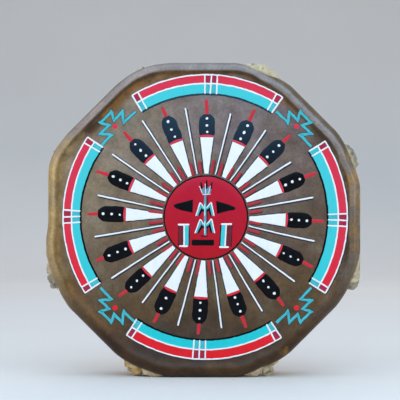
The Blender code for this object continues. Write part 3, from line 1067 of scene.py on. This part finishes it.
def paint_arcs(coats):
    """Four banded arcs, at the top, right, bottom and left."""
    # painted shadow: the ink lines lie offset down and to the right of the white ones
    shadow = Vector((0.0005, -0.0004))
    for quarter, (start, middle, end) in enumerate(ARC_SPANS):
        outer_rim, divide, inner_rim = ARC_RIMS[quarter]
        slim = [ARC_SLIM[quarter] * math.sin(math.pi * i / ARC_STEPS) for i in range(ARC_STEPS + 1)]
        even = [0.0] * len(slim)
        angles = [start + (end - start) * i / ARC_STEPS for i in range(ARC_STEPS + 1)]
        for name, dull, outer, inner, thinned in (("red", "maroon", outer_rim - 0.0016, divide, even),
                                                  ("turquoise", "teal", divide, inner_rim, slim)):
            places = [polar((outer + inner + thin) / 2, angle) for angle, thin in zip(angles, thinned)]
            halves = [(outer - inner - thin) / 2 + 0.0004 for thin in thinned]
            coats["arc_" + name].stroke(places, halves, wobble=0.0003, lanes=WIDE_LANES)
            for bar in (start + BAR_SPACING / 2, middle - BAR_SPACING / 2, middle + BAR_SPACING / 2,
                        end - BAR_SPACING / 2):
                thin = thinned[round(ARC_STEPS * (bar - start) / (end - start))]
                half = (outer - inner - thin) / 2 - 0.0002
                block = arc((outer + inner + thin) / 2, bar - 1.0, bar + 1.0, 4)
                coats["arc_" + dull].stroke(block, [half] * len(block), lanes=WIDE_LANES)
        for radius, half in ((outer_rim - 0.0008, 0.0009), (divide, 0.0010)):
            coats["arc_white"].stroke(arc(radius, start, end), [half] * len(slim), wobble=0.00035)
            ink = [place + shadow for place in arc(radius, start - 0.2, end + 0.2)]
            coats["ink"].stroke(ink, [half + 0.0008] * len(slim), wobble=0.0003)
        inside = [polar(inner_rim - 0.0010 + thin, angle) for angle, thin in zip(angles, slim)]
        coats["arc_black"].stroke(inside, [0.0013] * len(slim), wobble=0.0004)
        for bar in (start, start + BAR_SPACING, middle - BAR_SPACING, middle, middle + BAR_SPACING,
                    end - BAR_SPACING, end):
            tilt = uneven(0.4, quarter, bar)
            thin = slim[round(ARC_STEPS * (bar - start) / (end - start))]
            coats["arc_bar"].line(polar(inner_rim - 0.0006 + thin, bar + tilt),
                                  polar(outer_rim - 0.0004, bar - tilt),
                                  BAR_HALF + uneven(0.0002, quarter, bar, 2),
                                  BAR_HALF + uneven(0.0002, quarter, bar, 4), steps=24)


def paint_feather(coats, i):
    """A white feather: its body, red band, black tip with its dots, and red quill."""
    angle = i * 360 / FEATHERS + FEATHER_TURN[i]
    body_end = BODY_END + uneven(0.0010, i, 5)
    body = [polar(FEATHER_START + (body_end - FEATHER_START) * k / 14, angle) for k in range(15)]
    halves = [BODY_HALF[0] + (BODY_HALF[1] - BODY_HALF[0]) * k / 14 for k in range(15)]
    coats["ink"].stroke(body, [half + 0.0012 for half in halves], wobble=0.0003, lanes=5)
    coats["feather_white"].stroke(body, halves, wobble=0.0003, lanes=5)
    band = body_end + 0.0011
    coats["feather_band"].line(polar(band, angle, -0.0090), polar(band, angle, 0.0090), 0.0014, 0.0014,
                               bow=0.0010)
    tip_start, tip_end = TIP_START + body_end - BODY_END, TIP_END - TIP_SHORT[i] * MILLIMETRE
    places, halves = [], []
    width = TIP_HALF + uneven(0.0006, i, 21)
    for k in range(17):
        share = k / 16
        places.append(polar(tip_start + (tip_end - tip_start) * share, angle))
        round_end = 1 - max(0.0, (share - 0.60) / 0.40) ** 2.6
        narrow_start = 1 - 0.10 * (1 - min(1.0, share / 0.15))
        halves.append(width * max(0.16, round_end) ** 0.5 * narrow_start)
    coats["feather_tip"].stroke(places, halves, wobble=0.0004, lanes=5)
    for k, reach in enumerate(TWO_DOTS if i == TWO_DOT_FEATHER else DOT_REACHES):
        placed = tip_start + (reach - TIP_START) / (TIP_END - TIP_START) * (tip_end - tip_start)
        centre = polar(placed, angle, uneven(0.0014, i, k))
        coats["feather_dots"].blob(centre, 0.0019 + uneven(0.0006, i, k, 3),
                                   squash=1 + uneven(0.35, i, k, 6), turn=uneven(2.0, i, k, 7))
    quill_end = polar(QUILL_END + uneven(0.0022, i, 8), angle + uneven(1.2, i, 9))
    coats["feather_quill"].line(polar(tip_end - 0.0008, angle), quill_end,
                                0.0024 + uneven(0.0005, i, 17), 0.0019, steps=6)


def paint_ray(coats, i):
    """A thin white ray between two feathers, with a short red dash on either side of it."""
    angle = (i + 0.5) * 360 / FEATHERS + RAY_TURN[i]
    start = polar(RAY_START, angle - 0.8)
    end = polar(RAY_END - RAY_SHORT[i] * MILLIMETRE, angle)
    bow = uneven(0.0008, i, 14)
    # painted shadow: the ink lies offset down and to the right of the white ray and the red dashes
    shadow = Vector((0.0005, -0.0006))
    coats["ink"].line(start + shadow, end + shadow, 0.0020, 0.0024, steps=20, bow=bow)
    coats["ray_white"].line(start, end, 0.0008, 0.0011, steps=20, bow=bow)
    for side in (-1, 1):
        offset = side * (DASH_OFFSET + uneven(0.4, i, side, 15))
        start = polar(DASH_START, angle - 0.8 + offset)
        end = polar(DASH_END + uneven(0.003, i, side, 16), angle - 0.8 + offset * 0.92)
        coats["ink"].line(start + shadow, end + shadow, 0.0026, 0.0025)
        coats["dash_red"].line(start, end, 0.0018, 0.0017)


def paint_zigzags(coats):
    """A stepped lightning line across each gap between the arcs, with a red dot inside it."""
    corners = [(reach, -aside) for reach, aside in reversed(ZIGZAG)] + list(ZIGZAG)
    for quarter in range(4):
        diagonal = 45.0 + 90.0 * quarter
        turns = [polar(reach, diagonal, aside) for reach, aside in corners]
        places = [start.lerp(end, k / 6) for start, end in zip(turns, turns[1:]) for k in range(6)]
        places.append(turns[-1])
        halves = [0.0018 + 0.0003 * wave(k * 0.35, quarter * 4.4) for k in range(len(places))]
        coats["zigzag_ink"].stroke(places, [half + 0.0005 for half in halves], wobble=0.0004)
        coats["zigzag"].stroke(places, halves, wobble=0.0005)
        coats["zigzag_dot"].blob(polar(ZIGZAG_DOT, diagonal), 0.0034, points=18)


# The face, in millimetres from its middle
FACE_MIDDLE = PAINT_MIDDLE - Vector((0.0, 0.0005))
LEFT_EYE = ((-41.7, 16.1), (-38.0, 17.8), (-16.3, 23.4), (-16.9, 6.0), (-31.0, 8.8), (-38.5, 11.6),
            (-41.2, 14.0))
RIGHT_EYE = ((13.0, 21.6), (14.3, 4.5), (30.0, 8.6), (36.8, 9.6), (38.4, 11.4), (37.2, 13.6), (28.0, 17.4))
MOUTH = ((-17.6, -28.5), (10.2, -28.6), (10.9, -30.0), (10.6, -35.0), (9.6, -36.2), (-17.2, -36.1),
         (-18.4, -34.8), (-18.4, -30.0))
CROWN = ((-7.4, 40.5), (-4.6, 28.6), (5.6, 29.0), (8.4, 41.0), (4.4, 38.6), (0.9, 41.0), (-3.0, 38.4))
# The crown's prongs: the root and tip of each
CROWN_PRONGS = (((-5.0, 37.0), (-6.4, 45.5)), ((0.9, 37.0), (1.2, 48.5)), ((6.4, 37.0), (8.0, 46.0)))
# The nose's leaves: peak, foot and fork of each
LEAVES = (((-7.2, 19.2), (-13.0, 1.9), (-2.4, 12.0)), ((7.0, 19.7), (10.6, 1.9), (0.8, 12.0)),
          ((-7.2, -2.3), (-14.2, -20.4), (-2.4, -9.5)), ((7.5, -1.7), (11.4, -20.1), (0.8, -9.5)))
# The nose's stem: each strip's coat, across, top, bottom, half-width and steps
STEM = (("face_edge", 0.2, 27.0, -22.0, 2.0, 14), ("face_teal", -0.8, 28.5, -23.0, 1.6, 14),
        ("face_bar_slate", -0.8, 28.3, 19.4, 1.65, 8), ("face_bar_slate", -0.8, 3.4, -3.6, 1.65, 8))
# The cheek bars: the edges of each one's strips, its top and bottom, how far its top leans out,
# and the spans of its two white ends
CHEEKS = (
    ((-20.8, -22.4, -22.1, -26.9, -26.9, -28.9, -28.9, -35.3, -34.8, -35.9), -9.3, -36.8, 0.0,
     ((-36.0, -21.2), (-34.4, -23.0))),
    ((17.9, 19.6, 19.3, 24.5, 24.5, 26.4, 26.4, 33.2, 32.7, 33.9), -8.6, -38.0, 0.8,
     ((19.4, 33.8), (17.2, 29.6))),
)
CHEEK_COATS = ("face_edge", "face_turquoise", "face_bar_white", "face_wine", "face_edge")


def paint_face(coats):
    """A plain sun face: crimson disc, triangle eyes, bar mouth, plant-shaped nose, cheek bars."""
    rim = [FACE_MIDDLE - PAINT_MIDDLE + place for place in arc(DISC_RADIUS - 0.0004, 0.0, 360.0, 96)[:-1]]
    rings = []
    for share, reach in ((0, 1.0), (0.6, 1.0), (1, 0.995), (1, 0.8), (1, 0.6), (1, 0.4), (1, 0.2)):
        rings.append([coats["disc"].vertex(FACE_MIDDLE.lerp(place, reach), share) for place in rim])
    skin_sections(coats["disc"].builder, rings)
    coats["disc_outline"].stroke(rim, [0.0010] * len(rim), closed=True, wobble=0.0004)

    def area(coat, corners):
        coats[coat].area([FACE_MIDDLE + Vector(corner) * MILLIMETRE for corner in corners])

    def strip(coat, start, end, half_start, half_end=None, steps=8):
        start, end = (FACE_MIDDLE + Vector(place) * MILLIMETRE for place in (start, end))
        half_end = half_end or half_start
        coats[coat].line(start, end, half_start * MILLIMETRE, half_end * MILLIMETRE, steps=steps)

    for corners in LEFT_EYE, RIGHT_EYE, MOUTH:
        area("face_black", corners)
    strip("face_black", (-6.4, -23.9), (2.6, -23.9), 0.8)
    for coat, x, top, bottom, half, steps in STEM:
        strip(coat, (x, top), (x, bottom), half, steps=steps)
    for peak, foot, fork in LEAVES:
        peak, foot, fork = Vector(peak), Vector(foot), Vector(fork)
        inward = -1 if peak.x > 0 else 1
        strip("face_edge", peak + Vector((inward * 3.6, -6.5)), foot + Vector((inward * 3.9, 0.3)), 1.6, 1.3)
        strip("face_edge", peak + Vector((inward * 2.6, -5.0)), fork + Vector((0, -4.6)), 1.6)
        strip("face_teal", peak + Vector((inward * 1.0, -1.6)), foot + Vector((inward * 1.7, 0.4)), 1.9, 1.5)
        strip("face_teal", peak + Vector((inward * 0.6, -1.8)), fork + Vector((0, -1.2)), 1.7)
        strip("face_white", peak, foot, 0.9, 0.7)
        strip("face_white", peak, fork + Vector((0, 0.6)), 0.8, 0.6)
    strip("face_white", (-1.4, 17.0), (-1.4, 2.0), 0.5)
    strip("face_white", (-1.4, -5.0), (-1.4, -20.5), 0.5)
    area("face_slate", CROWN)
    strip("face_white", (-4.0, 29.6), (6.2, 30.0), 0.45)
    for root, tip in CROWN_PRONGS:
        strip("face_prong", root, tip, 1.7, 0.7)
        strip("face_white", (tip[0] - 1.9, tip[1] - 5.0), (root[0] * 0.7 - 1.0, 31.0), 0.45)
    for edges, top, bottom, lean, caps in CHEEKS:
        for coat, inner, outer in zip(CHEEK_COATS, edges[::2], edges[1::2]):
            x = (inner + outer) / 2
            strip(coat, (x + lean, top), (x - lean, bottom), abs(outer - inner) / 2)
        for (left, right), level in zip(caps, (top, bottom)):
            strip("face_white", (left, level), (right, level), 1.2)


# Tones of the record's red, turquoise and black paint
COUNTS_AS = {"crimson": "red", "maroon": "red", "quill": "red", "wine": "red", "dull_red": "red",
             "teal": "turquoise", "slate": "turquoise", "ink": "black"}
# Each coat: its name, its paint, and the layer it is laid on in
COATS = (
    ("disc", "crimson", 0), ("disc_outline", "black", 1), ("arc_red", "red", 0),
    ("arc_turquoise", "turquoise", 0), ("arc_maroon", "maroon", 1), ("arc_teal", "teal", 1),
    ("arc_black", "black", 1), ("arc_white", "white", 3), ("arc_bar", "white", 5), ("ink", "ink", -1),
    ("feather_white", "white", 0), ("feather_tip", "black", 1), ("feather_band", "red", 2),
    ("feather_dots", "white", 2), ("feather_quill", "quill", 0), ("ray_white", "white", 1),
    ("dash_red", "dull_red", 1), ("zigzag_ink", "ink", -1), ("zigzag", "teal", 0), ("zigzag_dot", "red", 0),
    ("face_black", "black", 1), ("face_edge", "black", 1), ("face_wine", "wine", 2),
    ("face_turquoise", "turquoise", 2), ("face_slate", "slate", 1), ("face_prong", "black", 2),
    ("face_bar_white", "white", 3), ("face_teal", "teal", 2), ("face_bar_slate", "slate", 3),
    ("face_white", "white", 4),
)


def make_paint(surfaces):
    coats = {}
    for name, paint, layer in COATS:
        surface = surfaces["ink_outline_and_shadow" if paint == "ink" else paint + "_paint"]
        coats[name] = Coat("paint_" + name, surface, COUNTS_AS.get(paint, paint) + "_paint", layer)
    paint_arcs(coats)
    for i in range(FEATHERS):
        paint_feather(coats, i)
        paint_ray(coats, i)
    paint_zigzags(coats)
    paint_face(coats)
    for coat in coats.values():
        coat.finish()


# ================================================================ stage, light and camera
FLOOR_REACH = 3.0
CURVE_START = 2.6
CURVE_RADIUS = 0.9
BACKDROP_HEIGHT = 4.0
BACKDROP_HALF = 4.0


def make_stage():
    """A pale floor that curves up into a backdrop."""
    builder = bmesh.new()
    profile = [(-FLOOR_REACH, 0.0)]
    for i in range(17):
        angle = math.pi / 2 * i / 16
        profile.append((CURVE_START + CURVE_RADIUS * math.sin(angle), CURVE_RADIUS * (1 - math.cos(angle))))
    profile.append((CURVE_START + CURVE_RADIUS, BACKDROP_HEIGHT))
    rows = [[builder.verts.new((x, y, z)) for x in (-BACKDROP_HALF, BACKDROP_HALF)] for y, z in profile]
    for row, following in zip(rows, rows[1:]):
        builder.faces.new((row[0], row[1], following[1], following[0]))
    mesh = bpy.data.meshes.new("floor")
    builder.to_mesh(mesh)
    builder.free()
    mesh.shade_smooth()
    s = Surface("pale_floor", IOR=1.45)
    colour = s.mix(s.levels(s.noise(3), 0.3, 0.7), (0.86, 0.78, 0.70), (0.84, 0.76, 0.68))
    rough = s.levels(s.noise(40), 0.3, 0.7, 0.75, 0.85)
    mesh.materials.append(s.finish(colour, rough, s.bump(s.noise(300), 0.0002, 0.1)))
    floor = bpy.data.objects.new("floor", mesh)
    bpy.context.scene.collection.objects.link(floor)


def add_light(name, place, size, power, colour):
    """A soft rectangle of light that faces the drum."""
    light = bpy.data.lights.new(name, "AREA")
    light.shape = "RECTANGLE"
    light.size, light.size_y = size
    light.energy = power
    light.color = colour
    lamp = bpy.data.objects.new(name, light)
    bpy.context.scene.collection.objects.link(lamp)
    lamp.location = place
    lamp.rotation_euler = (MIDDLE - Vector(place)).to_track_quat("-Z", "Y").to_euler()
    lamp.visible_camera = False


def make_lights():
    """Open shade: a broad pale sky in front and above, a warm side and a dim ground."""
    add_light("sky_front", (0.0, -1.75, 1.30), (2.8, 1.3), 30, (0.44, 0.74, 1.0))
    add_light("sky_above", (0.0, -0.25, 2.1), (2.4, 1.6), 11, (0.70, 0.86, 1.0))
    add_light("warm_left", (-2.0, -1.2, 0.45), (1.2, 1.2), 15.5, (1.0, 0.80, 0.62))
    add_light("pale_right", (2.0, -1.2, 0.55), (1.2, 1.2), 12, (1.0, 0.86, 0.74))
    add_light("soft_back", (0.3, 2.4, 1.7), (2.8, 2.0), 13, (1.0, 0.96, 0.92))
    world = bpy.data.worlds.new("studio")
    world.use_nodes = True
    nodes, links = world.node_tree.nodes, world.node_tree.links
    direction = nodes.new("ShaderNodeTexCoord")
    parts = nodes.new("ShaderNodeSeparateXYZ")
    ramp = nodes.new("ShaderNodeValToRGB")
    links.new(direction.outputs["Generated"], parts.inputs[0])
    links.new(parts.outputs["Z"], ramp.inputs[0])
    links.new(ramp.outputs[0], nodes["Background"].inputs["Color"])
    ramp.color_ramp.elements[0].position = 0.0
    ramp.color_ramp.elements[0].color = (0.11, 0.105, 0.10, 1.0)
    ramp.color_ramp.elements[1].position = 0.7
    ramp.color_ramp.elements[1].color = (0.50, 0.64, 0.85, 1.0)
    nodes["Background"].inputs["Strength"].default_value = 1.0
    bpy.context.scene.world = world
    bpy.context.scene.view_settings.view_transform = "Standard"


CAMERA_DISTANCE = 2.2
VIEW_WIDTH = 0.514            # what the picture takes in at the front head
VIEW_CENTRE = (-0.0042, 0.0257)


def make_camera():
    """Square on to the front head, with the drum a little low in the picture."""
    camera = bpy.data.cameras.new("camera")
    camera.sensor_width = 36.0
    camera.lens = camera.sensor_width * CAMERA_DISTANCE / VIEW_WIDTH
    holder = bpy.data.objects.new("camera", camera)
    bpy.context.scene.collection.objects.link(holder)
    holder.location = (MIDDLE.x + VIEW_CENTRE[0], LOW.y - CAMERA_DISTANCE, MIDDLE.z + VIEW_CENTRE[1])
    holder.rotation_euler = (math.pi / 2, 0, 0)
    bpy.context.scene.camera = holder


def build():
    surfaces = make_surfaces()
    raw, lace = surfaces["raw_hide_edge"], surfaces["rawhide_lace"]
    make_stage()
    make_lights()
    make_camera()
    for side in range(SIDES):
        make_stave(side, surfaces["frame_wood"])
        make_lace(side, lace)
    make_hide("drumhead_front", -1, FRONT_FLARE, surfaces["front_hide"], raw, "front_hide")
    make_hide("drumhead_back", 1, BACK_FLARE, surfaces["back_hide"], raw, "back_hide")
    for corner in range(SIDES):
        make_knot(corner, lace)
    for number, (*shape, hide) in enumerate(CORNER_FLAPS, 1):
        make_flap(f"corner_flap_{number}", *shape, surfaces[hide])
    make_lace_end(lace)
    make_paint(surfaces)


build()
bpy.context.view_layer.update()
